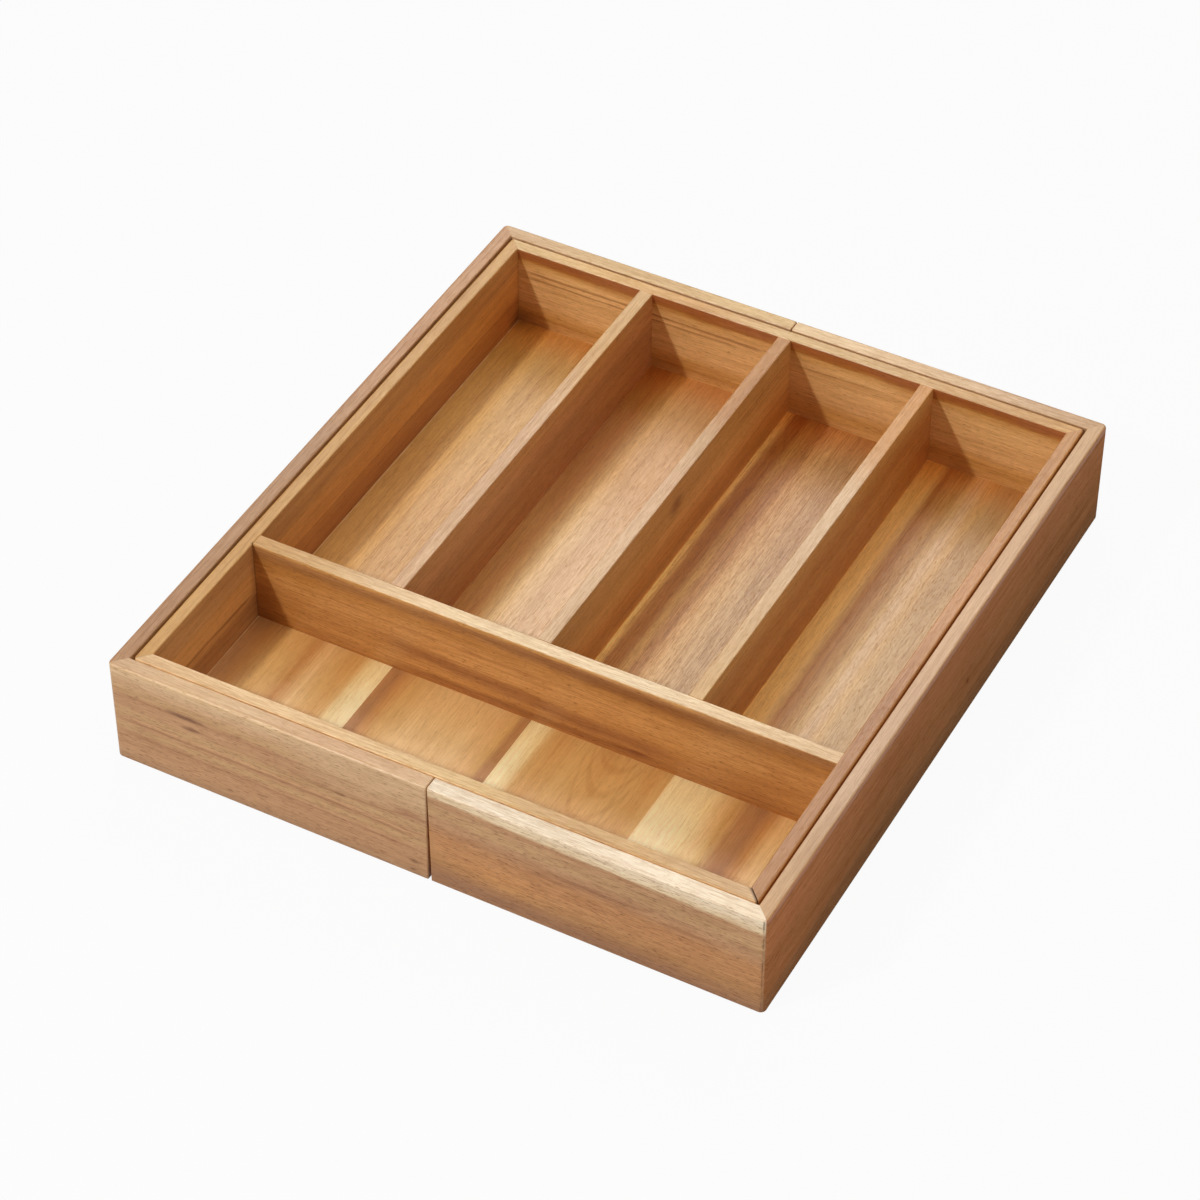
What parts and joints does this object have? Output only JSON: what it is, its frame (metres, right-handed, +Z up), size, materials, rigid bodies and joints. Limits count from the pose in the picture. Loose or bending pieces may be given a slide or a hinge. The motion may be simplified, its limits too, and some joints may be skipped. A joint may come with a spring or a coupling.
{
  "type": "expanding cutlery tray",
  "caption": "Low wooden drawer tray with one bay across the front and long bays behind it, held between two sleeves that slide out sideways to widen it.",
  "frame": {"origin": "centre of the closed tray's footprint, on the surface that it stands on", "axes": "+X to the right along the front, +Y to the rear, +Z up"},
  "size_m": [0.35, 0.386, 0.062],
  "materials": {
    "rail_wood": "satin oiled acacia, pink-brown heartwood with cream sapwood",
    "wall_wood": "satin oiled acacia, golden brown",
    "divider_wood": "satin oiled acacia, golden brown",
    "base_wood": "satin oiled acacia boards, brown with cream sapwood bands",
    "guide_wood": "planed hardwood",
    "sleeve_panel_wood": "thin oiled hardwood panel"
  },
  "bodies": {
    "centre_tray": {"centre_front_wall": "wall_wood", "centre_rear_wall": "wall_wood", "centre_left_wall": "wall_wood", "centre_right_wall": "wall_wood", "cross_divider": "divider_wood", "long_divider_1": "divider_wood", "long_divider_2": "divider_wood", "long_divider_3": "divider_wood", "base_board_1": "base_wood", "base_board_2": "base_wood", "base_board_3": "base_wood", "base_board_4": "base_wood", "guide_strip_front_left": "guide_wood", "guide_strip_front_right": "guide_wood", "guide_strip_rear_left": "guide_wood", "guide_strip_rear_right": "guide_wood"},
    "left_sleeve": {"left_front_rail": "rail_wood", "left_end_rail": "rail_wood", "left_rear_rail": "rail_wood", "left_bottom_panel": "sleeve_panel_wood"},
    "right_sleeve": {"right_front_rail": "rail_wood", "right_end_rail": "rail_wood", "right_rear_rail": "rail_wood", "right_bottom_panel": "sleeve_panel_wood"}
  },
  "joints": [
    {"name": "left_sleeve_slide", "type": "slide", "parent": "centre_tray", "child": "left_sleeve", "axis": [-1, 0, 0], "range_m": [0, 0.08]},
    {"name": "right_sleeve_slide", "type": "slide", "parent": "centre_tray", "child": "right_sleeve", "axis": [1, 0, 0], "range_m": [0, 0.08]}
  ]
}
